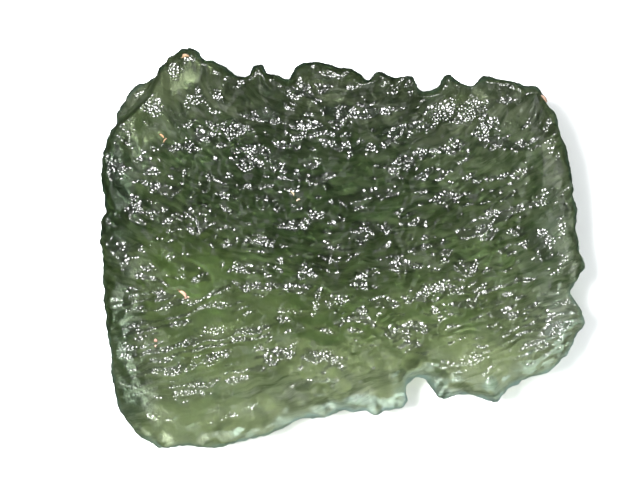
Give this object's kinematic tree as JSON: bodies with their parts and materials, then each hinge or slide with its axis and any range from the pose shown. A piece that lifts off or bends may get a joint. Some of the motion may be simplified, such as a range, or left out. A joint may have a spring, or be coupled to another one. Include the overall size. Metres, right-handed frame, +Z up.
{
  "type": "raw tektite",
  "caption": "Flat flake of raw green natural glass with a notched outline and a skin of short ridges and pits, lying on its underside.",
  "frame": {"origin": "middle of the bounding box, on the level the stone rests on", "axes": "+X along the longest side, +Y towards the side with the small top notches, +Z up from the resting underside to the sculpted upper face"},
  "size_m": [0.03, 0.0248, 0.0077],
  "materials": {
    "tektite_glass": "dark olive-green natural glass, translucent at thin edges, glossy in pits and satin on its weathered skin"
  },
  "bodies": {
    "root": {"tektite": "tektite_glass"}
  },
  "joints": []
}
